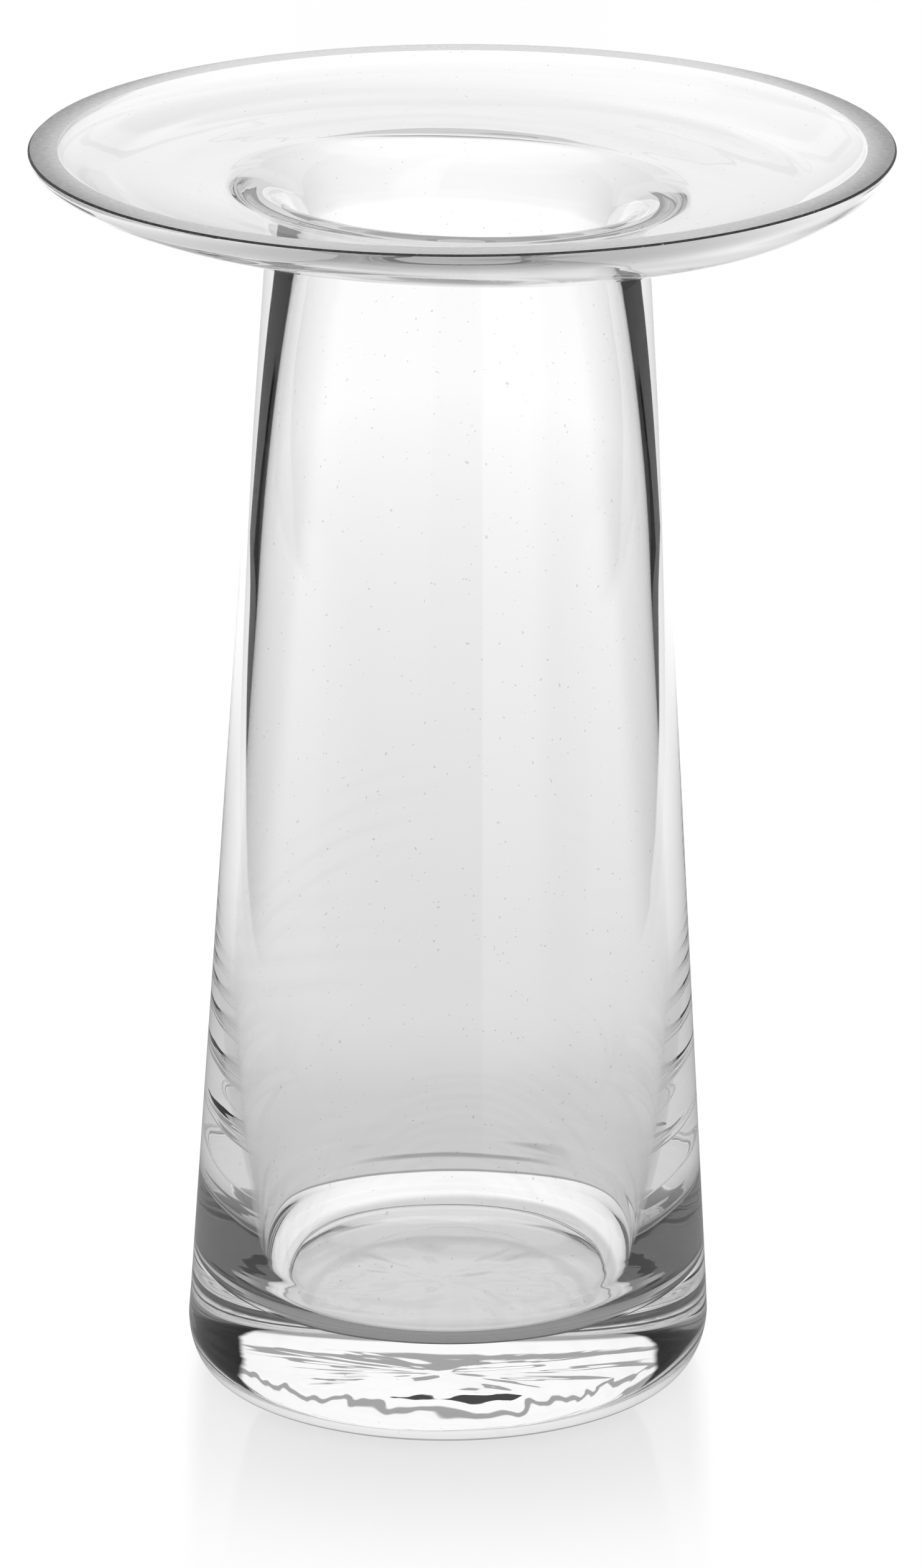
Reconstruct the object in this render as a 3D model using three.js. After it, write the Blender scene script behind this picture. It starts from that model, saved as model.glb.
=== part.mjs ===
// A clear glass vase: a straight body that narrows upwards, a thick solid base under it and a wide,
// shallow, dish-shaped collar on top, cut off flat and ground at its rim.
// Millimetres, +Z up, the foot stands on z = 0 and the axis of the vase is the Z axis.
// Every piece is a solid of revolution. Its section is drawn as (radius, height) points.
import * as THREE from 'three';

// The vase as a whole
const height = 300;
const facetsRound = 72;

// Outside of the body, a straight cone
const footDiameter = 126;
const neckDiameter = 90;

// Collar
const rimDiameter = 201;
const collarDepth = 14.3;
const collarFloor = 5.4;
const groundWidth = 6.3;
const groundChamfer = 0.6;
const rimEdge = 0.7;
const bowlFullness = 3.03;
const bowlRoundness = 1.5;
const neckFillet = 9;
const mouthWidth = 16;
const mouthRise = 13.5;

// Thickness of the body wall, thinnest at mid height, swelling down to the base and up to the throat
const bodyWall = 4.7;
const wellWall = 15.5;
const swellHeight = 90;
const throatWall = 9.2;
const throatLength = 72;

// Solid base
const baseThickness = 21;
const wellFillet = 9;
const heelWidth = 8.6;
const heelHeight = 13.4;
const footRingWidth = 6.5;
const kickUp = 3;

// Heights of the flat faces where the three lengths of the glass meet
const baseLength = 36;
const collarLength = 30;

// Steps along the rounded stretches of the sections
const bowlSteps = 13;
const dishSteps = 9;
const mouthSteps = 7;
const throatSteps = 5;
const filletSteps = 4;
const wellSteps = 5;
const swellSteps = 6;
const heelSteps = 6;
const kickSteps = 4;

const footRadius = footDiameter / 2;
const neckRadius = neckDiameter / 2;
const rimRadius = rimDiameter / 2;
const shoulderHeight = height - collarDepth;
const dishHeight = shoulderHeight + collarFloor;
const mouthHeight = dishHeight - mouthRise;
const throatStart = mouthHeight - throatLength;
const collarJoint = height - collarLength;
const swellTop = baseThickness + swellHeight;
const taper = (footRadius - neckRadius) / shoulderHeight;

const outerRadius = (z) => footRadius - taper * z;

const wall = (z) => {
  const low = Math.max(0, (swellTop - z) / swellHeight) ** 2;
  const high = Math.max(0, (z - throatStart) / throatLength) ** 1.5;
  return bodyWall + (wellWall - bodyWall) * low + (throatWall - bodyWall) * high;
};

const innerRadius = (z) => outerRadius(z) - wall(z);

// Points on a quarter ellipse about (r, z). Angles in degrees, 0 outwards and 90 upwards.
function arc(r, z, halfWidth, halfHeight, from, to, steps) {
  const points = [];
  for (let i = 0; i <= steps; i += 1) {
    const angle = THREE.MathUtils.degToRad(from + (to - from) * i / steps);
    points.push([r + halfWidth * Math.cos(angle), z + halfHeight * Math.sin(angle)]);
  }
  return points;
}

// Points from (r0, z) to (r1, z + rise) on a curve that leaves level and ends steep, like a dish.
function dishCurve(r0, r1, z, rise, steps) {
  const points = [];
  for (let i = 0; i <= steps; i += 1) {
    const share = Math.sin(0.5 * Math.PI * i / steps);
    const drop = (1 - share ** bowlFullness) ** (1 / bowlRoundness);
    points.push([r0 + (r1 - r0) * share, z + rise * (1 - drop)]);
  }
  return points;
}

// The inside wall between two heights, from the lower one up.
function innerWall(low, high, steps) {
  const points = [];
  for (let i = 0; i <= steps; i += 1) {
    const z = low + (high - low) * i / steps;
    points.push([innerRadius(z), z]);
  }
  return points;
}

// A closed section turned round the Z axis.
function turned(name, section, material) {
  const outline = section.map(([r, z]) => new THREE.Vector2(r, z));
  const solid = new THREE.LatheGeometry(outline, facetsRound);
  solid.rotateX(Math.PI / 2);
  const mesh = new THREE.Mesh(solid, material);
  mesh.name = name;
  return mesh;
}

const clearGlass = new THREE.MeshStandardMaterial({
  name: 'clear_glass',
  color: 0xeef1f1,
  roughness: 0.02,
  metalness: 0,
});

// Solid base: kick-up, foot ring, rounded heel, the wall to the joint and the well above the floor.
function solidBase() {
  const heelRadius = outerRadius(heelHeight) - heelWidth;
  const kickRadius = heelRadius - footRingWidth;
  const filletTop = baseThickness + wellFillet;
  const filletCentre = innerRadius(filletTop) - wellFillet;
  return [
    ...arc(0, 0, kickRadius, kickUp, 90, 0, kickSteps),
    ...arc(heelRadius, heelHeight, heelWidth, heelHeight, -90, 0, heelSteps),
    [outerRadius(baseLength), baseLength],
    [innerRadius(baseLength), baseLength],
    ...arc(filletCentre, filletTop, wellFillet, wellFillet, 0, -90, wellSteps),
    [0, baseThickness],
  ];
}

// Tapered body: the straight outside and, between the two joints, the inside that swells at both ends.
function taperedBody() {
  const swell = innerWall(baseLength, swellTop, swellSteps);
  const throat = innerWall(throatStart, collarJoint, throatSteps);
  return [
    [outerRadius(baseLength), baseLength],
    [outerRadius(collarJoint), collarJoint],
    ...throat.reverse(),
    ...swell.reverse(),
    [outerRadius(baseLength), baseLength],
  ];
}

// Collar: the top of the wall, the fillet, the underside of the dish, the ground rim and the mouth.
function collar() {
  const filletHeight = shoulderHeight - neckFillet;
  const filletCentre = outerRadius(filletHeight) + neckFillet;
  const groundInner = rimRadius - groundChamfer - groundWidth;
  const mouthCentre = innerRadius(mouthHeight) + mouthWidth;
  const joint = [outerRadius(collarJoint), collarJoint];
  const underside = dishCurve(filletCentre, rimRadius, shoulderHeight, collarDepth - rimEdge, bowlSteps);
  const inside = dishCurve(mouthCentre, groundInner, dishHeight, height - dishHeight, dishSteps);
  return [
    joint,
    ...arc(filletCentre, filletHeight, neckFillet, neckFillet, 180, 90, filletSteps).slice(0, -1),
    ...underside,
    [rimRadius - groundChamfer, height],
    ...inside.reverse(),
    ...arc(mouthCentre, mouthHeight, mouthWidth, mouthRise, 90, 180, mouthSteps).slice(1),
    [innerRadius(collarJoint), collarJoint],
    joint,
  ];
}

const vase = new THREE.Group();
vase.name = 'collared_vase';
vase.add(turned('solid_base', solidBase(), clearGlass.clone()));
vase.add(turned('tapered_body', taperedBody(), clearGlass.clone()));
vase.add(turned('collar', collar(), clearGlass.clone()));

export default vase;
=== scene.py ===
# %% [markdown]
# # A clear glass vase with a dish-shaped collar
# The real object is one piece of clear glass: a tall body that narrows upwards, a thick solid base
# and a wide shallow collar, cut off flat and ground at its rim. This file rebuilds its looks around
# the fixed CAD frame. Lengths are metres, +Z is up and the vase stands on z = 0.

# %% Load the fixed frame
import math

import bmesh
import bpy
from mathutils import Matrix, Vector


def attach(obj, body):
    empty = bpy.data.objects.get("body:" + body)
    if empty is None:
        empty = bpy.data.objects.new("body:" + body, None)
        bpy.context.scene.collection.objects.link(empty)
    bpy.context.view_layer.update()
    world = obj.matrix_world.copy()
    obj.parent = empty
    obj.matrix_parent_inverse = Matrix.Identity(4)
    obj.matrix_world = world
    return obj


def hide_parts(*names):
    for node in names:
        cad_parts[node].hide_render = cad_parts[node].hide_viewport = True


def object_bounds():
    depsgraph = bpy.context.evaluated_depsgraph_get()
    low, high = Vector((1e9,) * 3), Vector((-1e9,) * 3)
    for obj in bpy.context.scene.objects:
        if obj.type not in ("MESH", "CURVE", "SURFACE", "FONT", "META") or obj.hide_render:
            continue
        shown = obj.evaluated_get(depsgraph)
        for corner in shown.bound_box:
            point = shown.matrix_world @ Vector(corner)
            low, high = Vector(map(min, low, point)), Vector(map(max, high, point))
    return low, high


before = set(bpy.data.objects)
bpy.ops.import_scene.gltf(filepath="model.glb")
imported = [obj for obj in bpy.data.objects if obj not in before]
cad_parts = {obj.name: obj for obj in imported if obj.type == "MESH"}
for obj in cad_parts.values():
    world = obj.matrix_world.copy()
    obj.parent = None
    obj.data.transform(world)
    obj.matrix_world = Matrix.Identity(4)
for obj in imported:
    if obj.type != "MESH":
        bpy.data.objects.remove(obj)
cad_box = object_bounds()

print("CAD box", [tuple(round(c, 4) for c in corner) for corner in cad_box])

# %% [markdown]
# ## The sizes of the glass
# A vase like this is blown and turned, so nearly everything about it can be said with radii and
# heights. The height and the rim come from the frame. The rest are the CAD part's values, but for
# three that were tuned: the chamfer and the rim's edge are 0.15 and 0.25 mm finer, and the throat
# starts 8 mm lower and rises more softly. The fine ridge over the well is only made here.

# %% Name the sizes
MM = 0.001
HEIGHT = round(cad_box[1][2], 4)
RIM_RADIUS = round(cad_box[1][0], 4)
FOOT_RADIUS = 63 * MM
NECK_RADIUS = 45 * MM
COLLAR_DEPTH = 14.3 * MM
COLLAR_FLOOR = 5.4 * MM
GROUND_WIDTH = 6.3 * MM
GROUND_CHAMFER = 0.45 * MM
RIM_EDGE = 0.45 * MM
BOWL_FULLNESS = 3.03
BOWL_ROUNDNESS = 1.5
NECK_FILLET = 9 * MM
MOUTH_WIDTH = 16 * MM
MOUTH_RISE = 13.5 * MM
MOUTH_START_DEGREES = 2
THROAT_WALL = 9.2 * MM
THROAT_LENGTH = 80 * MM
BODY_WALL = 4.7 * MM
WELL_WALL = 15.5 * MM
SWELL_HEIGHT = 90 * MM
BASE_THICKNESS = 21 * MM
WELL_FILLET = 9 * MM
HEEL_WIDTH = 8.6 * MM
HEEL_HEIGHT = 13.4 * MM
FOOT_RING = 6.5 * MM
KICK_UP = 3 * MM
RIDGE = 0.10 * MM
RIDGE_OVER_WELL = 2 * MM
RIDGE_SPREAD = 1.3 * MM
RIDGE_SPAN = 8 * MM

SHOULDER = HEIGHT - COLLAR_DEPTH
DISH_FLOOR = SHOULDER + COLLAR_FLOOR
MOUTH_HEIGHT = DISH_FLOOR - MOUTH_RISE
THROAT = MOUTH_HEIGHT - MOUTH_RISE * math.sin(math.radians(MOUTH_START_DEGREES))
SWELL_TOP = BASE_THICKNESS + SWELL_HEIGHT
TAPER = (FOOT_RADIUS - NECK_RADIUS) / SHOULDER
print(f"{HEIGHT / MM:.0f} mm high, {2 * RIM_RADIUS / MM:.0f} mm across the rim,",
      f"taper of the body {math.degrees(math.atan(TAPER)):.2f} degrees")

# %% [markdown]
# ## The section
# The whole vase can be drawn as one closed outline from the middle of its underside, out over the
# foot, up the wall, round the collar, down the inside and back to the axis. The wall keeps one
# thickness in the middle. It swells towards the base, as glass does where it runs down while it is
# hot, and towards the throat, where the collar was opened out of it. Each curve has many steps,
# because clear glass shows every facet twice: on the near wall and through it on the far one.


# %% Helpers that walk along the section
def outer_radius(z):
    return FOOT_RADIUS - TAPER * z


def inner_radius(z):
    low = max(0.0, (SWELL_TOP - z) / SWELL_HEIGHT)
    high = max(0.0, (z - THROAT + THROAT_LENGTH) / THROAT_LENGTH)
    swell = (WELL_WALL - BODY_WALL) * low ** 2
    narrowing = (THROAT_WALL - BODY_WALL) * high ** 2
    return outer_radius(z) - (BODY_WALL + swell + narrowing)


def straight(start, end, steps):
    (r0, z0), (r1, z1) = start, end
    return [(r0 + (r1 - r0) * i / steps, z0 + (z1 - z0) * i / steps) for i in range(steps + 1)]


def rounded(r, z, half_width, half_height, first, last, steps):
    points = []
    for i in range(steps + 1):
        angle = math.radians(first + (last - first) * i / steps)
        points.append((r + half_width * math.cos(angle), z + half_height * math.sin(angle)))
    return points


def dish_curve(r0, r1, z, rise, steps):
    points = []
    for i in range(steps + 1):
        share = math.sin(0.5 * math.pi * i / steps)
        drop = max(0.0, 1 - share ** BOWL_FULLNESS) ** (1 / BOWL_ROUNDNESS)
        points.append((r0 + (r1 - r0) * share, z + rise * (1 - drop)))
    return points


def ridge(z):
    off = z - BASE_THICKNESS - WELL_FILLET - RIDGE_OVER_WELL
    return RIDGE * math.exp(-(off / RIDGE_SPREAD) ** 2)


def inner_wall(low, high, steps):
    heights = [low + (high - low) * i / steps for i in range(steps + 1)]
    return [(inner_radius(z) - ridge(z), z) for z in heights]


# %% Draw the outside, from the axis to the rim
heel_radius = outer_radius(HEEL_HEIGHT) - HEEL_WIDTH
heel_top = (outer_radius(HEEL_HEIGHT), HEEL_HEIGHT)
kick_radius = heel_radius - FOOT_RING
fillet_height = SHOULDER - NECK_FILLET
fillet_radius = outer_radius(fillet_height) + NECK_FILLET
body_top = (outer_radius(fillet_height), fillet_height)
outside = rounded(0, 0, kick_radius, KICK_UP, 90, 0, steps=22)
outside += straight((kick_radius, 0), (heel_radius, 0), steps=3)[1:]
outside += rounded(heel_radius, HEEL_HEIGHT, HEEL_WIDTH, HEEL_HEIGHT, -90, 0, steps=20)[1:]
outside += straight(heel_top, body_top, steps=42)[1:]
outside += rounded(fillet_radius, fillet_height, NECK_FILLET, NECK_FILLET, 180, 90, steps=16)[1:]
outside += dish_curve(fillet_radius, RIM_RADIUS, SHOULDER, COLLAR_DEPTH - RIM_EDGE, steps=40)[1:]
print(len(outside), "points outside")

# %% Draw the ground rim and the inside, back to the axis
ground_outer = RIM_RADIUS - GROUND_CHAMFER
ground_inner = ground_outer - GROUND_WIDTH
mouth_radius = inner_radius(THROAT) + MOUTH_WIDTH * math.cos(math.radians(MOUTH_START_DEGREES))
mouth_end = 180 + MOUTH_START_DEGREES
well_height = BASE_THICKNESS + WELL_FILLET
well_radius = inner_radius(well_height) - WELL_FILLET
ridge_top = well_height + RIDGE_SPAN
rim_face = straight((ground_outer, HEIGHT), (ground_inner, HEIGHT), steps=3)
inside = dish_curve(mouth_radius, ground_inner, DISH_FLOOR, HEIGHT - DISH_FLOOR, steps=34)[::-1][1:]
inside += rounded(mouth_radius, MOUTH_HEIGHT, MOUTH_WIDTH, MOUTH_RISE, 90, mouth_end, steps=26)[1:]
inside += inner_wall(ridge_top, THROAT, steps=42)[::-1][1:]
inside += inner_wall(well_height, ridge_top, steps=14)[::-1][1:]
inside += rounded(well_radius, well_height, WELL_FILLET, WELL_FILLET, 0, -90, steps=20)[1:]
inside += straight((well_radius, BASE_THICKNESS), (0, BASE_THICKNESS), steps=12)[1:]
section = outside + rim_face + inside
print(len(section), "points in the section")

# %% [markdown]
# ## What the hand of the maker left
# The glass is not perfectly true. Its foot stands a few millimetres to the left of its rim, the
# shoulder under the collar hangs a little lower on one side, and the walls and the underside carry
# soft ripples. Each point of the section gets a number for each of these, and the tree further on
# turns the numbers into shape, so one place says how much there is of everything.
# Each list below holds stops: a height or a distance from the axis, and the amount there.

# %% Say how much there is of each
LEAN_BY_HEIGHT = [(0.0, -4.0 * MM), (0.016, -3.3 * MM), (SHOULDER, -0.93 * MM), (HEIGHT, 0.0)]
TILT_BY_HEIGHT = [(0.200, 0.0), (SHOULDER, 0.033)]
TILT_INSIDE_BY_RADIUS = [(0.047, 1.0), (0.080, 0.82), (ground_inner, 0.0)]
TILT_OUTSIDE_BY_RADIUS = [(0.047, 1.0), (0.080, 0.82), (0.090, 0.59), (0.097, 0.3), (0.100, 0.0)]
WAVE_INSIDE_BY_RADIUS = [(0.010, 0.0), (0.030, 0.06 * MM)]
WAVE_INSIDE_BY_HEIGHT = [(0.260, 1.0), (0.295, 0.3)]
WAVE_OUTSIDE_BY_HEIGHT = [(0.015, 0.04 * MM), (0.280, 0.03 * MM), (0.300, 0.0)]
WAVE_OUTSIDE_BY_RADIUS = [(0.010, 0.0), (0.030, 1.0)]
DRAWN_WALL_BY_HEIGHT = [(0.026, 0.0), (0.040, 0.28 * MM), (0.090, 0.28 * MM), (0.150, 0.0)]
DRAWN_DISH_BY_HEIGHT = [(0.270, 0.0), (0.285, 0.22 * MM)]
DRAWN_DISH_BY_RADIUS = [(0.080, 1.0), (0.090, 0.0)]
DRAWN_FOOT_BY_HEIGHT = [(0.004, 0.20 * MM), (0.012, 0.0)]
DRAWN_FOOT_BY_RADIUS = [(0.020, 0.0), (0.030, 1.0)]
SCAR_BY_RADIUS = [(0.018, 0.7 * MM), (0.036, 0.0)]
SCAR_TOP = 10 * MM
SPACING_INSIDE_BY_HEIGHT = [(0.030, 5 * MM), (0.050, 9 * MM), (0.140, 9 * MM), (0.150, 7 * MM)]
SPACING_OUTSIDE = 3.5 * MM
print("widest swing of a ripple", max(swing for z, swing in DRAWN_WALL_BY_HEIGHT) / MM, "mm")


# %% Helpers that give a point of the section its shares
def between(value, stops):
    for (x0, y0), (x1, y1) in zip(stops, stops[1:]):
        if value <= x1:
            share = min(1.0, max(0.0, (value - x0) / (x1 - x0)))
            return y0 + (y1 - y0) * share
    return stops[-1][1]


def tilt_at(r, z, is_outside):
    by_radius = TILT_OUTSIDE_BY_RADIUS if is_outside else TILT_INSIDE_BY_RADIUS
    return between(z, TILT_BY_HEIGHT) * between(r, by_radius)


def wave_at(r, z, is_inside):
    if is_inside:
        return between(r, WAVE_INSIDE_BY_RADIUS) * between(z, WAVE_INSIDE_BY_HEIGHT)
    return between(z, WAVE_OUTSIDE_BY_HEIGHT) * between(r, WAVE_OUTSIDE_BY_RADIUS)


def drawn_at(r, z, is_inside):
    if is_inside:
        dish = between(z, DRAWN_DISH_BY_HEIGHT) * between(r, DRAWN_DISH_BY_RADIUS)
        return between(z, DRAWN_WALL_BY_HEIGHT) + dish
    return between(z, DRAWN_FOOT_BY_HEIGHT) * between(r, DRAWN_FOOT_BY_RADIUS)


def scar_at(r, z, is_inside):
    return 0.0 if is_inside or z > SCAR_TOP else between(r, SCAR_BY_RADIUS)


def spacing_at(z, is_inside):
    return between(z, SPACING_INSIDE_BY_HEIGHT) if is_inside else SPACING_OUTSIDE


def outward(points, i):
    before = Vector(points[max(0, i - 1)])
    after = Vector(points[min(len(points) - 1, i + 1)])
    along = after - before
    if i in (0, len(points) - 1):
        along.y = 0.0
    return Vector((along.y, 0.0, -along.x)).normalized()


# %% Give every point of the section its shares
ground_points = range(len(outside), len(outside) + len(rim_face))
arris_points = (len(outside) - 1, len(outside))
share_names = ("lean", "tilt", "wave", "drawn", "scar", "ground", "arris", "phase")
shares = {name: [] for name in share_names}
phase = 0.0
for i, (r, z) in enumerate(section):
    is_outside = i < ground_points.start
    is_inside = i >= ground_points.stop
    if i > 0:
        phase += math.dist(section[i - 1], section[i]) / spacing_at(z, is_inside)
    shares["lean"].append(between(z, LEAN_BY_HEIGHT))
    shares["tilt"].append(tilt_at(r, z, is_outside))
    shares["wave"].append(wave_at(r, z, is_inside))
    shares["drawn"].append(drawn_at(r, z, is_inside))
    shares["scar"].append(scar_at(r, z, is_inside))
    shares["ground"].append(1.0 if i in ground_points else 0.0)
    shares["arris"].append(1.0 if i in arris_points else 0.0)
    shares["phase"].append(phase)
print("largest lean", round(min(shares["lean"]) / MM, 2), "mm")

# %% Store the section as a line of points with its attributes
line = bpy.data.meshes.new("vase_section")
edges = [(i, i + 1) for i in range(len(section) - 1)]
line.from_pydata([(r, 0.0, z) for r, z in section], edges, [])
for name, values in shares.items():
    line.attributes.new(name, "FLOAT", "POINT").data.foreach_set("value", values)
directions = line.attributes.new("outward", "FLOAT_VECTOR", "POINT")
directions.data.foreach_set("vector", [c for i in range(len(section)) for c in outward(section, i)])
section_line = bpy.data.objects.new("vase_section", line)
bpy.context.scene.collection.objects.link(section_line)
print("attributes stored", sorted(shares), "and outward")

# %% [markdown]
# ## Small helpers for node trees
# Trees of nodes are long when every node and link is written out. These helpers keep each step to a
# line, for the materials, for the room's light and for the tree that shapes the glass. A value
# handed to one is a plain number or another node's output. An edge is a pair: where a mask is
# nothing and where it is full.


# %% Helpers for numbers
def fill(tree, socket, value):
    if isinstance(value, (int, float)):
        socket.default_value = value
    else:
        tree.links.new(value, socket)


def math_node(tree, operation, *values):
    node = tree.nodes.new("ShaderNodeMath")
    node.operation = operation
    for slot, value in enumerate(values):
        fill(tree, node.inputs[slot], value)
    return node.outputs[0]


def in_turn(tree, operation, first, *others):
    for other in others:
        first = math_node(tree, operation, first, other)
    return first


def times(tree, *values):
    return in_turn(tree, "MULTIPLY", *values)


def plus(tree, *values):
    return in_turn(tree, "ADD", *values)


def largest(tree, *values):
    return in_turn(tree, "MAXIMUM", *values)


def minus(tree, value, taken):
    return math_node(tree, "SUBTRACT", value, taken)


def over(tree, value, divisor):
    return math_node(tree, "DIVIDE", value, divisor)


def more_than(tree, value, limit):
    return math_node(tree, "GREATER_THAN", value, limit)


def mask(tree, value, edge):
    node = tree.nodes.new("ShaderNodeMapRange")
    node.interpolation_type = "SMOOTHSTEP"
    node.inputs["From Min"].default_value, node.inputs["From Max"].default_value = edge
    tree.links.new(value, node.inputs["Value"])
    return node.outputs["Result"]


def choose(tree, share, low, high):
    node = tree.nodes.new("ShaderNodeMix")
    for slot, value in ((0, share), (2, low), (3, high)):
        fill(tree, node.inputs[slot], value)
    return node.outputs[0]


# %% Helpers for places, textures and sockets
def combine(tree, x, y, z):
    node = tree.nodes.new("ShaderNodeCombineXYZ")
    for slot, value in enumerate((x, y, z)):
        fill(tree, node.inputs[slot], value)
    return node.outputs[0]


def split(tree, vector):
    node = tree.nodes.new("ShaderNodeSeparateXYZ")
    tree.links.new(vector, node.inputs[0])
    return node.outputs


def object_place(tree):
    return tree.nodes.new("ShaderNodeTexCoord").outputs["Object"]


def from_axis(tree, x, y):
    return math_node(tree, "SQRT", plus(tree, times(tree, x, x), times(tree, y, y)))


def noise(tree, place, scale, detail, seed=None):
    node = tree.nodes.new("ShaderNodeTexNoise")
    node.inputs["Detail"].default_value = detail
    tree.links.new(place, node.inputs["Vector"])
    fill(tree, node.inputs["Scale"], scale)
    if seed is not None:
        node.noise_dimensions = "4D"
        fill(tree, node.inputs["W"], seed)
    return node.outputs["Fac"]


def input_socket(tree, name, kind, value=None):
    socket = tree.interface.new_socket(name, in_out="INPUT", socket_type=kind)
    if value is not None:
        socket.default_value = value


# %% Helpers for finishes
def tone(tree, level):
    node = tree.nodes.new("ShaderNodeCombineColor")
    for channel in node.inputs:
        tree.links.new(level, channel)
    return node.outputs[0]


def shine(tree, strength):
    node = tree.nodes.new("ShaderNodeEmission")
    fill(tree, node.inputs["Strength"], strength)
    return node.outputs[0]


def blend(tree, share, first, second):
    node = tree.nodes.new("ShaderNodeMixShader")
    for slot, value in enumerate((share, first, second)):
        tree.links.new(value, node.inputs[slot])
    return node.outputs[0]


# %% [markdown]
# ## Clear glass
# Good vase glass is colourless, and what is seen is only what it bends and mirrors. A Principled
# shader with full transmission does that. Shadow rays pass as through a thin grey filter, because a
# lamp's light can't be followed through bent glass, and a solid black shadow would be wrong.

# %% Helpers that start and finish a glass
GLASS_IOR = 1.5


def start_glass(name, transmission):
    material = bpy.data.materials.new(name)
    material.use_nodes = True
    shader = material.node_tree.nodes["Principled BSDF"]
    shader.inputs["Metallic"].default_value = 0.0
    shader.inputs["IOR"].default_value = GLASS_IOR
    shader.inputs["Transmission Weight"].default_value = transmission
    return material, material.node_tree, shader


def let_shadow_rays_pass(tree, surface, shade):
    is_shadow = tree.nodes.new("ShaderNodeLightPath").outputs["Is Shadow Ray"]
    filtering = tree.nodes.new("ShaderNodeBsdfTransparent")
    filtering.inputs["Color"].default_value = (shade, shade, shade, 1)
    seen = blend(tree, is_shadow, surface, filtering.outputs[0])
    tree.links.new(seen, tree.nodes["Material Output"].inputs["Surface"])


# %% Start the clear glass
CLEAR_SHADE = 0.93
clear_glass, tree, shader = start_glass("clear_glass", transmission=1.0)
shader.inputs["Roughness"].default_value = 0.0
print("started", clear_glass.name)

# %% [markdown]
# ## Marks of use on the clear glass
# Clear glass that has been washed and wiped keeps faint curved marks low on its wall and a few
# specks of dust. A bump would bend the light and break the picture in the glass, so the marks only
# take a little light away, through the base colour. Rings round the Y axis follow a cloth's arc.

# %% Place faint wipe marks and specks in its colour
CLEAN_COLOUR = 0.995
WIPED_LOSS = 0.040
WIPED_HEIGHTS = (0.150, 0.100)
PATCH_GRAIN = 16.0
PATCH_EDGE = (0.47, 0.60)
HAIR_EDGE = (0.55, 0.98)
HAIR_SETTINGS = {"Scale": 48.0, "Distortion": 2.2, "Detail": 2.0, "Detail Scale": 0.6}
SPECK_LOSS = 0.40
SPECK_GRAIN = 1000.0
SPECK_EDGE = (0.850, 0.865)

place = object_place(tree)
height = split(tree, place)[2]
hairs = tree.nodes.new("ShaderNodeTexWave")
hairs.wave_type = "RINGS"
hairs.rings_direction = "Y"
for name, value in HAIR_SETTINGS.items():
    hairs.inputs[name].default_value = value
tree.links.new(place, hairs.inputs["Vector"])
patches = mask(tree, noise(tree, place, PATCH_GRAIN, detail=2.0), PATCH_EDGE)
wiped = times(tree, patches, mask(tree, hairs.outputs["Fac"], HAIR_EDGE))
wiped = times(tree, wiped, mask(tree, height, WIPED_HEIGHTS))
specks = mask(tree, noise(tree, place, SPECK_GRAIN, detail=0.0), SPECK_EDGE)
lost = plus(tree, times(tree, wiped, WIPED_LOSS), times(tree, specks, SPECK_LOSS))
tree.links.new(tone(tree, minus(tree, CLEAN_COLOUR, lost)), shader.inputs["Base Color"])
print("wipe marks fade out between", WIPED_HEIGHTS[1], "and", WIPED_HEIGHTS[0], "m up")

# %% [markdown]
# ## The dark sides of the heel
# Light that turns twice in the rounded heel leaves it sideways, into the dark part of the room, so
# the sides of a thick base look nearly black. The plain room of this scene is too bright there.
# Instead of a wall in the scene, which would also show elsewhere, the material drops most of that
# light itself: only rays mirrored exactly twice, and only low in the glass.

# %% Lose most of the light that turns twice in the heel
HEEL_LOSS = 0.80
HEEL_HEIGHTS = (0.042, 0.018)

turned = tree.nodes.new("ShaderNodeLightPath").outputs["Glossy Depth"]
turned_twice = times(tree, more_than(tree, turned, 1.5), math_node(tree, "LESS_THAN", turned, 2.5))
in_the_heel = times(tree, turned_twice, mask(tree, height, HEEL_HEIGHTS), HEEL_LOSS)
surface = blend(tree, in_the_heel, shader.outputs[0], shine(tree, 0.0))
let_shadow_rays_pass(tree, surface, CLEAR_SHADE)
print("made", clear_glass.name, "with", len(tree.nodes), "nodes")

# %% [markdown]
# ## Grit
# The rim was cut off the blown piece and ground, so its face and its outer corner are matt. Both
# finishes share one effect, grit, which varies the dullness and leaves small bright chips. It could
# be built in each material, but a group is made once and placed with other values in each.

# %% Build the grit once
GRAIN_EDGE = (0.35, 0.65)
grit = bpy.data.node_groups.new("grit", "ShaderNodeTree")
input_socket(grit, "Grain", "NodeSocketFloat", 900.0)
input_socket(grit, "Dull least", "NodeSocketFloat", 0.4)
input_socket(grit, "Dull most", "NodeSocketFloat", 0.55)
input_socket(grit, "Chip size", "NodeSocketFloat", 0.0012)
input_socket(grit, "Chip limit", "NodeSocketFloat", 0.72)
for name in ("Roughness", "Chips", "Grain"):
    grit.interface.new_socket(name, in_out="OUTPUT", socket_type="NodeSocketFloat")
asked = grit.nodes.new("NodeGroupInput").outputs
given_back = grit.nodes.new("NodeGroupOutput").inputs
place = object_place(grit)
grain = mask(grit, noise(grit, place, asked["Grain"], detail=3.0), GRAIN_EDGE)
chips = noise(grit, place, over(grit, 1.0, asked["Chip size"]), detail=1.0)
grit.links.new(choose(grit, grain, asked["Dull least"], asked["Dull most"]), given_back["Roughness"])
grit.links.new(more_than(grit, chips, asked["Chip limit"]), given_back["Chips"])
grit.links.new(grain, given_back["Grain"])
print("grit has", len(grit.nodes), "nodes")


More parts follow.
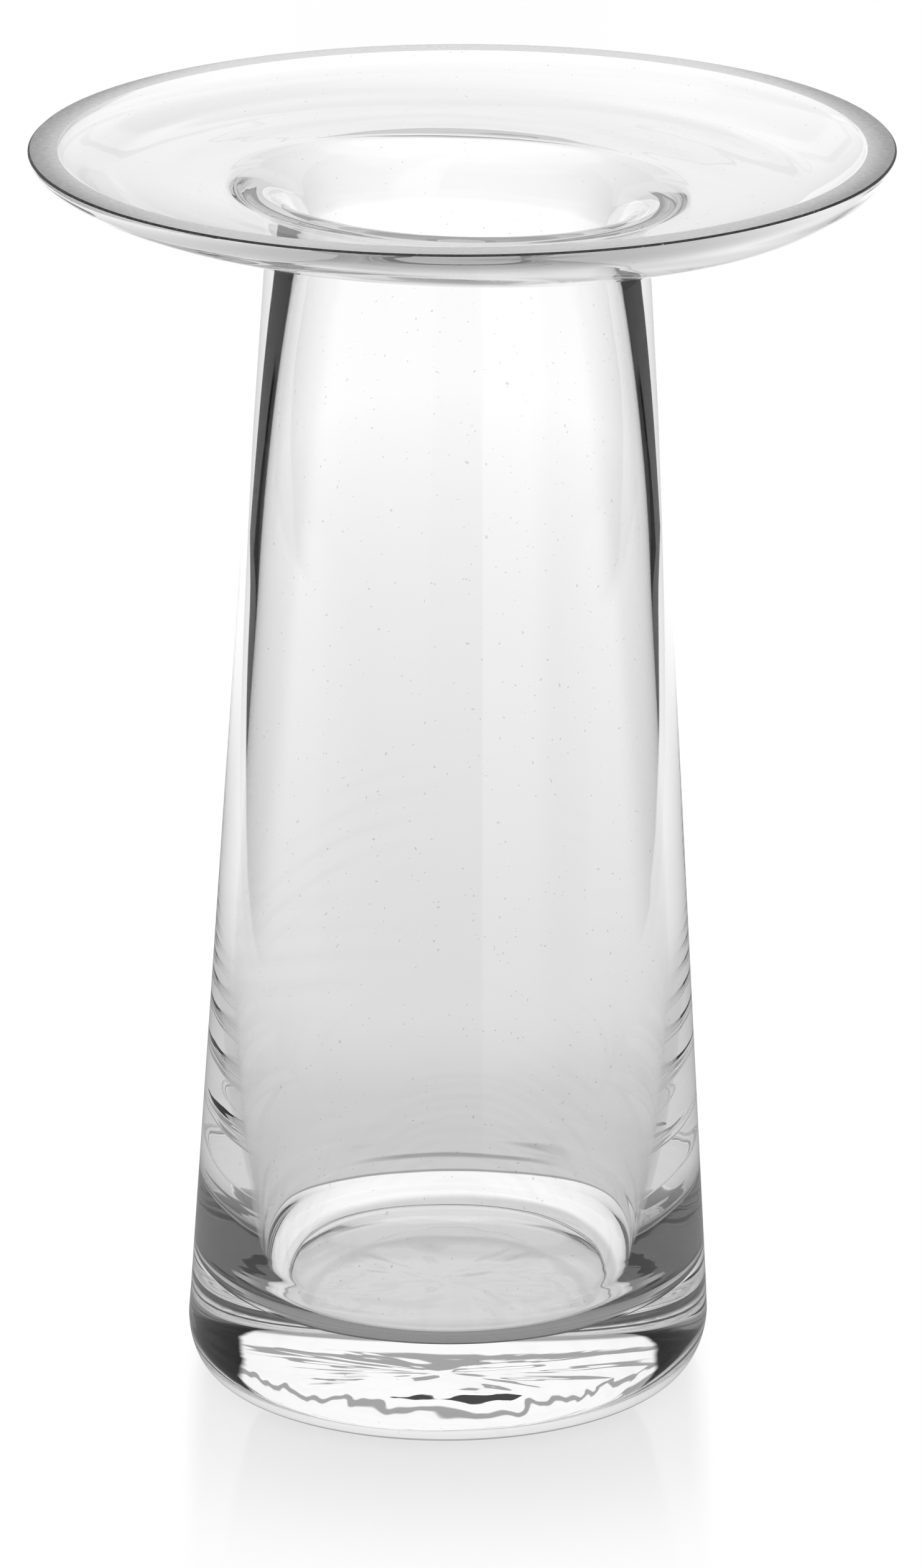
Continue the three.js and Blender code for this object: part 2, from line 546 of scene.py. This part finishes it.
# %% A helper that places the grit in a material
def place_grit(tree, shader, **settings):
    node = tree.nodes.new("ShaderNodeGroup")
    node.node_tree = grit
    for name, value in settings.items():
        node.inputs[name.replace("_", " ")].default_value = value
    tree.links.new(node.outputs["Roughness"], shader.inputs["Roughness"])
    return node.outputs


# %% [markdown]
# ## The ground face
# The flat face of the rim was ground with a fine stone. It passes about half of its light and
# scatters the rest, so it looks pale grey. Towards its left and right ends its outer half carries
# painted shade, a darker base colour. Half transmission on a rough Principled shader gives both
# kinds of light.

# %% Make the ground face's glass
GROUND_SHADE = 0.9
GROUND_TONE = 0.80
PAINTED_SHADE_TONE = 0.42
PAINTED_SHADE_RADII = (0.092, 0.100)
PAINTED_SHADE_SIDES = (0.050, 0.095)
GROUND_GRAIN_TONE = 0.04
GROUND_CHIP_TONE = 0.95

ground_glass, tree, shader = start_glass("ground_glass", transmission=0.5)
matt = place_grit(tree, shader, Grain=700.0, Dull_least=0.42, Dull_most=0.58,
                  Chip_size=0.0010, Chip_limit=0.74)
x, y, _ = split(tree, object_place(tree))
aside = math_node(tree, "ABSOLUTE", x)
# painted shade: a darker base colour on the outer half of the face, towards its left and right ends
painted_shade = times(tree, mask(tree, from_axis(tree, x, y), PAINTED_SHADE_RADII), mask(tree, aside, PAINTED_SHADE_SIDES))
shade = choose(tree, painted_shade, GROUND_TONE, PAINTED_SHADE_TONE)
shade = minus(tree, shade, times(tree, matt["Grain"], GROUND_GRAIN_TONE))
shade = choose(tree, matt["Chips"], shade, GROUND_CHIP_TONE)
tree.links.new(tone(tree, shade), shader.inputs["Base Color"])
let_shadow_rays_pass(tree, shader.outputs[0], GROUND_SHADE)
print("made", ground_glass.name)

# %% [markdown]
# ## The arris
# The outer corner of the rim was taken off with a coarser stone. The thin line that is left is
# painted nearly black from outside, as painted shade, and pale from within the glass, as painted
# light, so the shader asks which side is seen.

# %% Make the arris's glass
ARRIS_SHADE = 0.8
ARRIS_PAINTED_SHADE = 0.07
ARRIS_GRAIN_TONE = 0.05
ARRIS_CHIP_TONE = 0.75
ARRIS_INNER_PAINTED_LIGHT = 0.6

ground_arris, tree, shader = start_glass("ground_arris", transmission=0.0)
coarse = place_grit(tree, shader, Grain=900.0, Dull_least=0.5, Dull_most=0.7,
                    Chip_size=0.0008, Chip_limit=0.74)
# painted shade: the arris's nearly black base colour, seen from outside
shade = plus(tree, ARRIS_PAINTED_SHADE, times(tree, coarse["Grain"], ARRIS_GRAIN_TONE))
shade = choose(tree, coarse["Chips"], shade, ARRIS_CHIP_TONE)
inner_side = tree.nodes.new("ShaderNodeNewGeometry").outputs["Backfacing"]
# painted light: the arris is pale when seen from within the glass
shade = choose(tree, inner_side, shade, ARRIS_INNER_PAINTED_LIGHT)
tree.links.new(tone(tree, shade), shader.inputs["Base Color"])
let_shadow_rays_pass(tree, shader.outputs[0], ARRIS_SHADE)
print("made", ground_arris.name)

# %% [markdown]
# ## Turning the section
# A Screw or Spin would turn the line too, but a Geometry Nodes tree can also move each ring by the
# numbers stored on the section. The tree lays out a grid with one column for each direction round
# the axis and one row for each point of the section, and then puts every grid point in its place.

# %% Name the inputs of the tree
SIDES = 336
turn = bpy.data.node_groups.new("turn_the_section", "GeometryNodeTree")
turn.is_modifier = True
turn.interface.new_socket("Geometry", in_out="OUTPUT", socket_type="NodeSocketGeometry")
input_socket(turn, "Section", "NodeSocketObject")
input_socket(turn, "Sides", "NodeSocketInt", SIDES)
input_socket(turn, "Wave size", "NodeSocketFloat", 0.030)
input_socket(turn, "Drawn length", "NodeSocketFloat", 0.045)
input_socket(turn, "Scar grain", "NodeSocketFloat", 0.007)
input_socket(turn, "Scar stretch", "NodeSocketFloat", 0.45)
input_socket(turn, "Seed", "NodeSocketFloat", 3.7)
input_socket(turn, "Clear glass", "NodeSocketMaterial")
input_socket(turn, "Ground glass", "NodeSocketMaterial")
input_socket(turn, "Ground arris", "NodeSocketMaterial")
given = turn.nodes.new("NodeGroupInput").outputs
print("tree inputs", [socket.name for socket in given if socket.name])

# %% Lay out the grid and find each point's column and row
carrier = turn.nodes.new("GeometryNodeObjectInfo")
turn.links.new(given["Section"], carrier.inputs["Object"])
count = turn.nodes.new("GeometryNodeAttributeDomainSize")
turn.links.new(carrier.outputs["Geometry"], count.inputs[0])
rows = count.outputs["Point Count"]
grid = turn.nodes.new("GeometryNodeMeshGrid")
turn.links.new(plus(turn, given["Sides"], 1), grid.inputs["Vertices X"])
turn.links.new(rows, grid.inputs["Vertices Y"])
index = turn.nodes.new("GeometryNodeInputIndex").outputs[0]
column = math_node(turn, "FLOOR", over(turn, index, rows))
row = minus(turn, index, times(turn, column, rows))
angle = times(turn, over(turn, column, given["Sides"]), 2 * math.pi)
cosine = math_node(turn, "COSINE", angle)
sine = math_node(turn, "SINE", angle)
print("a grid of", SIDES, "columns and", len(section), "rows")


# %% Read the section at each row
def from_section(field, kind):
    sample = turn.nodes.new("GeometryNodeSampleIndex")
    sample.data_type = kind
    sample.domain = "POINT"
    turn.links.new(carrier.outputs["Geometry"], sample.inputs["Geometry"])
    turn.links.new(field, sample.inputs["Value"])
    turn.links.new(row, sample.inputs["Index"])
    return sample.outputs["Value"]


def stored(name, kind="FLOAT"):
    named = turn.nodes.new("GeometryNodeInputNamedAttribute")
    named.data_type = kind
    named.inputs["Name"].default_value = name
    return from_section(named.outputs["Attribute"], kind)


position = turn.nodes.new("GeometryNodeInputPosition").outputs[0]
radius, _, level = split(turn, from_section(position, "FLOAT_VECTOR"))
facing_out, _, facing_up = split(turn, stored("outward", "FLOAT_VECTOR"))
east = times(turn, radius, cosine)
north = times(turn, radius, sine)
print("the section is read by row")

# %% [markdown]
# ## Ripples
# This blown glass carries three kinds of unevenness: broad soft waves, narrow ripples drawn round
# the wall as it was turned, and the scar where the hot glass was broken off under the foot. They
# could be sculpted by hand, but a noise gives the same glass each time, and one number says how
# strong it is. Each is a noise in four dimensions, whose fourth is the seed, scaled by what the
# section's points ask for.


# %% Push every point in or out by its ripples
def share_of(name, texture):
    return times(turn, stored(name), minus(turn, texture, 0.5))


waves = noise(turn, combine(turn, east, north, level), over(turn, 1.0, given["Wave size"]),
              detail=0.0, seed=given["Seed"])
turns = over(turn, FOOT_RADIUS, given["Drawn length"])
round_the_wall = combine(turn, times(turn, turns, cosine), times(turn, turns, sine), stored("phase"))
streaks = noise(turn, round_the_wall, 1.0, detail=2.0, seed=given["Seed"])
underside = combine(turn, times(turn, east, given["Scar stretch"]), north, 0.0)
scar = noise(turn, underside, over(turn, 1.0, given["Scar grain"]), detail=2.0, seed=given["Seed"])
push = plus(turn, share_of("wave", waves), share_of("drawn", streaks), share_of("scar", scar))
print("three kinds of ripples")

# %% Put every grid point in its place
moved_radius = plus(turn, radius, times(turn, facing_out, push))
moved_level = plus(turn, level, times(turn, facing_up, push))
across = times(turn, moved_radius, cosine)
hang = times(turn, stored("tilt"), across)
moved = turn.nodes.new("GeometryNodeSetPosition")
turn.links.new(grid.outputs["Mesh"], moved.inputs["Geometry"])
turn.links.new(combine(turn, plus(turn, across, stored("lean")), times(turn, moved_radius, sine),
                       minus(turn, moved_level, hang)), moved.inputs["Position"])
print("the lean and the tilt are applied last")

# %% [markdown]
# ## Finishes, seam and poles
# Faces whose points all carry the mark of the rim or of its corner get the ground finishes. The
# grid's first and last column lie on each other, and so do all points of a row on the axis, so
# merging by distance closes the shell.

# %% Choose the ground faces and close the shell
MERGE_DISTANCE = 1e-7
ALL_CORNERS = 0.99
glazed = turn.nodes.new("GeometryNodeSetMaterial")
turn.links.new(moved.outputs["Geometry"], glazed.inputs["Geometry"])
turn.links.new(given["Clear glass"], glazed.inputs["Material"])
finished = glazed.outputs["Geometry"]
for share, material in (("ground", "Ground glass"), ("arris", "Ground arris")):
    keep = turn.nodes.new("GeometryNodeStoreNamedAttribute")
    keep.inputs["Name"].default_value = share + "_share"
    turn.links.new(finished, keep.inputs["Geometry"])
    turn.links.new(stored(share), keep.inputs["Value"])
    read = turn.nodes.new("GeometryNodeInputNamedAttribute")
    read.inputs["Name"].default_value = share + "_share"
    give = turn.nodes.new("GeometryNodeSetMaterial")
    turn.links.new(keep.outputs["Geometry"], give.inputs["Geometry"])
    turn.links.new(more_than(turn, read.outputs["Attribute"], ALL_CORNERS), give.inputs["Selection"])
    turn.links.new(given[material], give.inputs["Material"])
    finished = give.outputs["Geometry"]
weld = turn.nodes.new("GeometryNodeMergeByDistance")
turn.links.new(finished, weld.inputs["Geometry"])
weld.inputs["Distance"].default_value = MERGE_DISTANCE
realized = turn.nodes.new("GeometryNodeRealizeInstances")
turn.links.new(weld.outputs["Geometry"], realized.inputs["Geometry"])
turn.links.new(realized.outputs["Geometry"], turn.nodes.new("NodeGroupOutput").inputs[0])
print(len(turn.nodes), "nodes in the tree")

# %% Turn the section and keep the result as a plain mesh
blank = bpy.data.objects.new("blank", bpy.data.meshes.new("blank"))
bpy.context.scene.collection.objects.link(blank)
turning = blank.modifiers.new("turn", "NODES")
turning.node_group = turn
identifiers = {item.name: item.identifier for item in turn.interface.items_tree
               if item.in_out == "INPUT"}
turning[identifiers["Section"]] = section_line
turning[identifiers["Sides"]] = SIDES
turning[identifiers["Clear glass"]] = clear_glass
turning[identifiers["Ground glass"]] = ground_glass
turning[identifiers["Ground arris"]] = ground_arris
ready = blank.evaluated_get(bpy.context.evaluated_depsgraph_get())
glass_mesh = bpy.data.meshes.new_from_object(ready)
bpy.data.objects.remove(blank)
bpy.data.objects.remove(section_line)
print(len(glass_mesh.polygons), "faces turned")

# %% [markdown]
# ## Smooth and closed
# Glass needs a shell without a gap and with all its faces turned outwards, or light goes wrong
# inside it. The faces are shaded smooth, and only the ground edges of the rim stay sharp.

# %% Check the shell, shade it and give it to the frame
SHARP_ANGLE = math.radians(35)
NO_LENGTH = 1e-8
glass_mesh.name = "glass_vase"
shell = bmesh.new()
shell.from_mesh(glass_mesh)
bmesh.ops.dissolve_degenerate(shell, dist=NO_LENGTH, edges=shell.edges)
bmesh.ops.recalc_face_normals(shell, faces=shell.faces)
open_edges = sum(1 for edge in shell.edges if not edge.is_manifold)
litres = shell.calc_volume() * 1000
shell.to_mesh(glass_mesh)
shell.free()
glass_mesh.shade_smooth()
glass_mesh.set_sharp_from_angle(angle=SHARP_ANGLE)
glass_vase = bpy.data.objects.new("glass_vase", glass_mesh)
bpy.context.scene.collection.objects.link(glass_vase)
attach(glass_vase, "root")
for node in ("solid_base", "tapered_body", "collar"):
    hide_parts(node)
triangles = sum(len(face.vertices) - 2 for face in glass_mesh.polygons)
print(f"{triangles} triangles, {open_edges} open edges, {litres:.3f} litres of glass")

# %% [markdown]
# ## The studio
# The vase stands on a white table in front of a white backdrop. What makes clear glass readable is
# what lies beside them: the room is dark, so light that turns inside the glass and leaves it
# sideways shows black edges, while light that goes straight through shows the white.
# Light Path tells these apart. Straight light is white, and light that was mirrored at least once
# sees the real room: the backdrop, a glow at the sides, a soft box at the right and one overhead.
# Light that has turned many times has seen a bit of everything, so it gets one pale grey.


# %% Name the edges and levels of the room
def in_radians(*degrees):
    return tuple(math.radians(angle) for angle in degrees)


BACKDROP_SIDES = in_radians(43, 40)
BACKDROP_FOOT = (0.06, 0.12)
LOW_BACKDROP_SIDES = in_radians(28.5, 26.5)
LOW_BACKDROP_FOOT = (-0.05, -0.03)
GREY_BAND_FOOT = (0.300, 0.315)
GREY_BAND_TOP = (0.355, 0.343)
GREY_TOP = (0.44, 0.49)
SIDE_GLOW_EDGE = in_radians(74, 88)
SOFT_BOX_LEFT = in_radians(14, 15)
SOFT_BOX_RIGHT = in_radians(56, 42)
OVERHEAD_EDGE = tuple(math.sin(angle) for angle in in_radians(48, 54))
MANY_TURNS = (2.6, 4.2)

CAMERA_LIGHT = 1.0
THROUGH_LIGHT = 1.12
TABLE_LIGHT = 0.5
BACKDROP_LIGHT = 1.3
BACKDROP_GREY = 0.50
SOFT_BOX_LIGHT = 1.0
OFTEN_LIGHT = 0.84
OUTGOING_OVERHEAD, REFLECTED_OVERHEAD = 1.1, 0.5
OUTGOING_SIDES, REFLECTED_SIDES = 0.6, 0.0
REFLECTED_BACKDROP = 0.55
print("the soft box spans", round(math.degrees(SOFT_BOX_RIGHT[1] - SOFT_BOX_LEFT[1])), "degrees")

# %% Build the parts of the room
world = bpy.data.worlds.new("studio")
bpy.context.scene.world = world
world.use_nodes = True
sky = world.node_tree
sky.nodes.clear()
path = sky.nodes.new("ShaderNodeLightPath").outputs
reflected = path["Is Reflection Ray"]
east, north, up = split(sky, sky.nodes.new("ShaderNodeTexCoord").outputs["Generated"])
from_back = math_node(sky, "ABSOLUTE", math_node(sky, "ARCTAN2", east, north))
from_front = math_node(sky, "ARCTAN2", east, times(sky, north, -1))

high_backdrop = times(sky, mask(sky, from_back, BACKDROP_SIDES), mask(sky, up, BACKDROP_FOOT))
low_backdrop = times(sky, mask(sky, from_back, LOW_BACKDROP_SIDES), mask(sky, up, LOW_BACKDROP_FOOT))
grey_band = times(sky, mask(sky, up, GREY_BAND_FOOT), mask(sky, up, GREY_BAND_TOP))
grey_parts = largest(sky, mask(sky, up, GREY_TOP), grey_band)
backdrop_light = choose(sky, grey_parts, BACKDROP_LIGHT, BACKDROP_GREY)
backdrop_light = choose(sky, reflected, backdrop_light, REFLECTED_BACKDROP)
backdrop = times(sky, largest(sky, high_backdrop, low_backdrop), backdrop_light)

side_light = choose(sky, reflected, OUTGOING_SIDES, REFLECTED_SIDES)
side_glow = times(sky, mask(sky, from_back, SIDE_GLOW_EDGE), side_light)
soft_box = times(sky, mask(sky, from_front, SOFT_BOX_LEFT), mask(sky, from_front, SOFT_BOX_RIGHT))
soft_box = times(sky, soft_box, SOFT_BOX_LIGHT)
overhead_light = choose(sky, reflected, OUTGOING_OVERHEAD, REFLECTED_OVERHEAD)
overhead = times(sky, mask(sky, up, OVERHEAD_EDGE), overhead_light)
room = largest(sky, backdrop, side_glow, soft_box, overhead)
room = choose(sky, mask(sky, path["Glossy Depth"], MANY_TURNS), room, OFTEN_LIGHT)
print("the room's parts take", len(sky.nodes), "nodes")

# %% Show each kind of light its part
straight_light = choose(sky, path["Is Transmission Ray"], TABLE_LIGHT, THROUGH_LIGHT)
straight_light = choose(sky, path["Is Camera Ray"], straight_light, CAMERA_LIGHT)
mirrored = more_than(sky, path["Glossy Depth"], 0.5)
glow = sky.nodes.new("ShaderNodeBackground")
sky.links.new(choose(sky, mirrored, straight_light, room), glow.inputs["Strength"])
sky.links.new(glow.outputs[0], sky.nodes.new("ShaderNodeOutputWorld").inputs["Surface"])
print("room lit with", len(sky.nodes), "nodes")

# %% [markdown]
# ## The table
# To the camera the table is plain white and keeps the soft grey shadow of the vase, which fades
# a hand's breadth in front of it. Through the glass it is greyer close to the vase than far
# behind it, which gives the body its tone from bottom to top. Rings round the foot stand for the
# light that the thick base gathers on the table, and for the darker rings beside it.

# %% Lay the table and measure it round the vase
TABLE_LEVEL = -0.0003
TABLE_SIZE = 16
bpy.ops.mesh.primitive_plane_add(size=TABLE_SIZE, location=(0, 0, TABLE_LEVEL))
table = bpy.context.object
table.name = "table"
white = bpy.data.materials.new("white_table")
white.use_nodes = True
table.data.materials.append(white)
top = white.node_tree
top.nodes.clear()
x, y, _ = split(top, object_place(top))
aside = math_node(top, "ABSOLUTE", x)
away = from_axis(top, x, y)
print("table", TABLE_SIZE, "m wide")


# %% Say how light the table is through the glass
def ring(inner_edge, outer_edge):
    return times(top, mask(top, away, inner_edge), mask(top, away, outer_edge))


NEAR_LEVEL = 0.56
RISE_PER_METRE = 0.30
RISE_BEHIND = 0.16
RISE_BEHIND_EDGE = (0.08, 0.22)
THROUGH_LEAST, THROUGH_MOST = 0.67, 1.08
GATHERED_FRONT, GATHERED_SIDES = 0.42, 0.28
GATHERED_ASIDE = (0.030, 0.062)
DARK_RINGS = 0.28
HOLLOW_ASIDE = (0.040, 0.015)

gathered = ring((0.050, 0.056), (0.0765, 0.0750))
gathered_level = choose(top, mask(top, aside, GATHERED_ASIDE), GATHERED_FRONT, GATHERED_SIDES)
edge_ring = ring((0.0755, 0.0765), (0.0790, 0.0775))
hollow_ring = times(top, ring((0.092, 0.098), (0.107, 0.102)), mask(top, aside, HOLLOW_ASIDE))
seen_through = plus(top, NEAR_LEVEL, times(top, away, RISE_PER_METRE))
seen_through = plus(top, seen_through, times(top, mask(top, away, RISE_BEHIND_EDGE), RISE_BEHIND))
seen_through = largest(top, seen_through, THROUGH_LEAST)
seen_through = plus(top, seen_through, times(top, gathered, gathered_level))
dark_rings = times(top, largest(top, edge_ring, hollow_ring), DARK_RINGS)
seen_through = minus(top, seen_through, dark_rings)
seen_through = math_node(top, "MINIMUM", seen_through, THROUGH_MOST)
print("table seen through the glass", THROUGH_LEAST, "to", THROUGH_MOST)

# %% [markdown]
# ## The table in mirrored light
# Light that has turned in the glass sees a table of a certain width: a strip behind the vase that
# widens with the backdrop, a wide part beside it, and less and less in front, where the room is
# dark. It is darkest round the foot. Light that turned only once, under the collar, meets it a
# little lighter there.

# %% Say how light the table is once mirrored
STRIP_HALF_WIDTH = (0.45, 0.43)
STRIP_WIDENS_FROM = 0.845
BESIDE_DEPTH = (0.25, 0.05)
BESIDE_WIDTH = (2.2, 1.6)
FRONT_FADE = (-0.80, -0.05)
MIRRORED_RISE = (0.06, 0.60)
MIRRORED_NEAR, MIRRORED_FAR = 0.28, 1.02
UNDER_COLLAR_NEAR = 0.46
UNDER_COLLAR_EDGE = (-0.01, 0.01)
REFLECTED_RISE = (0.40, 0.65)
REFLECTED_NEAR, REFLECTED_FAR = 0.3, 1.05
OFTEN_RISE = (0.07, 0.30)
OFTEN_NEAR, OFTEN_FAR = 0.25, 0.80

path = top.nodes.new("ShaderNodeLightPath").outputs
widening = largest(top, 1.0, over(top, y, STRIP_WIDENS_FROM))
strip = mask(top, over(top, aside, widening), STRIP_HALF_WIDTH)
beside = times(top, mask(top, y, BESIDE_DEPTH), mask(top, aside, BESIDE_WIDTH))
inside_table = times(top, largest(top, strip, beside), mask(top, y, FRONT_FADE))
turned_once = math_node(top, "LESS_THAN", path["Glossy Depth"], 1.5)
under_collar = times(top, turned_once, mask(top, y, UNDER_COLLAR_EDGE))
near_level = choose(top, under_collar, MIRRORED_NEAR, UNDER_COLLAR_NEAR)
seen_mirrored = choose(top, mask(top, away, MIRRORED_RISE), near_level, MIRRORED_FAR)
seen_reflected = choose(top, mask(top, y, REFLECTED_RISE), REFLECTED_NEAR, REFLECTED_FAR)
seen_mirrored = choose(top, path["Is Reflection Ray"], seen_mirrored, seen_reflected)
turned_often = choose(top, mask(top, away, OFTEN_RISE), OFTEN_NEAR, OFTEN_FAR)
print("mirrored table", MIRRORED_NEAR, "to", MIRRORED_FAR)

# %% Mix what each kind of light sees of the table
PAINT = (0.8, 0.8, 0.8, 1)
SHADOW_SIDES = (0.064, 0.056)
SHADOW_SHIFT = 0.0035
SHADOW_REACH = (0.15, 0.06)
SHADOW_FAR, SHADOW_NEAR = 0.09, 0.70

paint = top.nodes.new("ShaderNodeBsdfDiffuse")
paint.inputs["Color"].default_value = PAINT
nothing = top.nodes.new("ShaderNodeBsdfTransparent").outputs[0]
from_foot = math_node(top, "ABSOLUTE", plus(top, x, SHADOW_SHIFT))
shadow = choose(top, mask(top, away, SHADOW_REACH), SHADOW_FAR, SHADOW_NEAR)
keeps_shadow = times(top, mask(top, from_foot, SHADOW_SIDES), shadow)
for_camera = blend(top, keeps_shadow, shine(top, CAMERA_LIGHT), paint.outputs[0])
for_mirrored = blend(top, inside_table, nothing, shine(top, seen_mirrored))
often = mask(top, path["Glossy Depth"], MANY_TURNS)
for_mirrored = blend(top, often, for_mirrored, shine(top, turned_often))
surface = blend(top, path["Is Camera Ray"], paint.outputs[0], for_camera)
surface = blend(top, path["Is Transmission Ray"], surface, shine(top, seen_through))
surface = blend(top, more_than(top, path["Glossy Depth"], 0.5), surface, for_mirrored)
top.links.new(surface, top.nodes.new("ShaderNodeOutputMaterial").inputs["Surface"])
print("table laid with", len(top.nodes), "nodes")

# %% [markdown]
# ## One lamp
# A sun lamp behind the vase, 28 degrees above the table, throws the shadow towards the camera. It
# lights the table and the matt rim. The clear glass doesn't see it and shows the room alone.

# %% Hang the lamp
LAMP_ELEVATION = 28
LAMP_STRENGTH = 5.0
LAMP_WIDTH = math.radians(1.2)
lamp_data = bpy.data.lights.new("back_light", "SUN")
lamp_data.energy = LAMP_STRENGTH
lamp_data.angle = LAMP_WIDTH
lamp = bpy.data.objects.new("back_light", lamp_data)
lamp.rotation_euler = (math.radians(LAMP_ELEVATION - 90), 0, 0)
lamp.visible_glossy = False
lamp.visible_transmission = False
bpy.context.scene.collection.objects.link(lamp)
print("lamp", LAMP_ELEVATION, "degrees up")

# %% [markdown]
# ## The camera
# A long lens looks down on the vase at 17.7 degrees, from 2.2 metres in front of it. Both were
# found from the ellipses of the rim and the foot.

# %% Place the camera
CAMERA_PLACE = (-0.0003, -2.2186, 0.8541)
CAMERA_PITCH = 72.27
camera_data = bpy.data.cameras.new("camera")
camera_data.sensor_fit = "VERTICAL"
camera_data.sensor_height = 24
camera_data.lens = 150.98
camera_data.clip_end = 50
camera = bpy.data.objects.new("camera", camera_data)
camera.location = CAMERA_PLACE
camera.rotation_euler = (math.radians(CAMERA_PITCH), 0, 0)
bpy.context.scene.collection.objects.link(camera)
bpy.context.scene.camera = camera
print("camera at", CAMERA_PLACE, "looking down", round(90 - CAMERA_PITCH, 1), "degrees")

# %% [markdown]
# ## Finish
# Light turns many times inside thick glass, so it may bounce more often than in other scenes.
# Standard view keeps white white.

# %% Set the view and the bounces
TURNS_IN_GLASS = 70
scene = bpy.context.scene
scene.view_settings.view_transform = "Standard"
scene.cycles.max_bounces = TURNS_IN_GLASS + 10
scene.cycles.glossy_bounces = TURNS_IN_GLASS
scene.cycles.transmission_bounces = TURNS_IN_GLASS
scene.cycles.transparent_max_bounces = 24
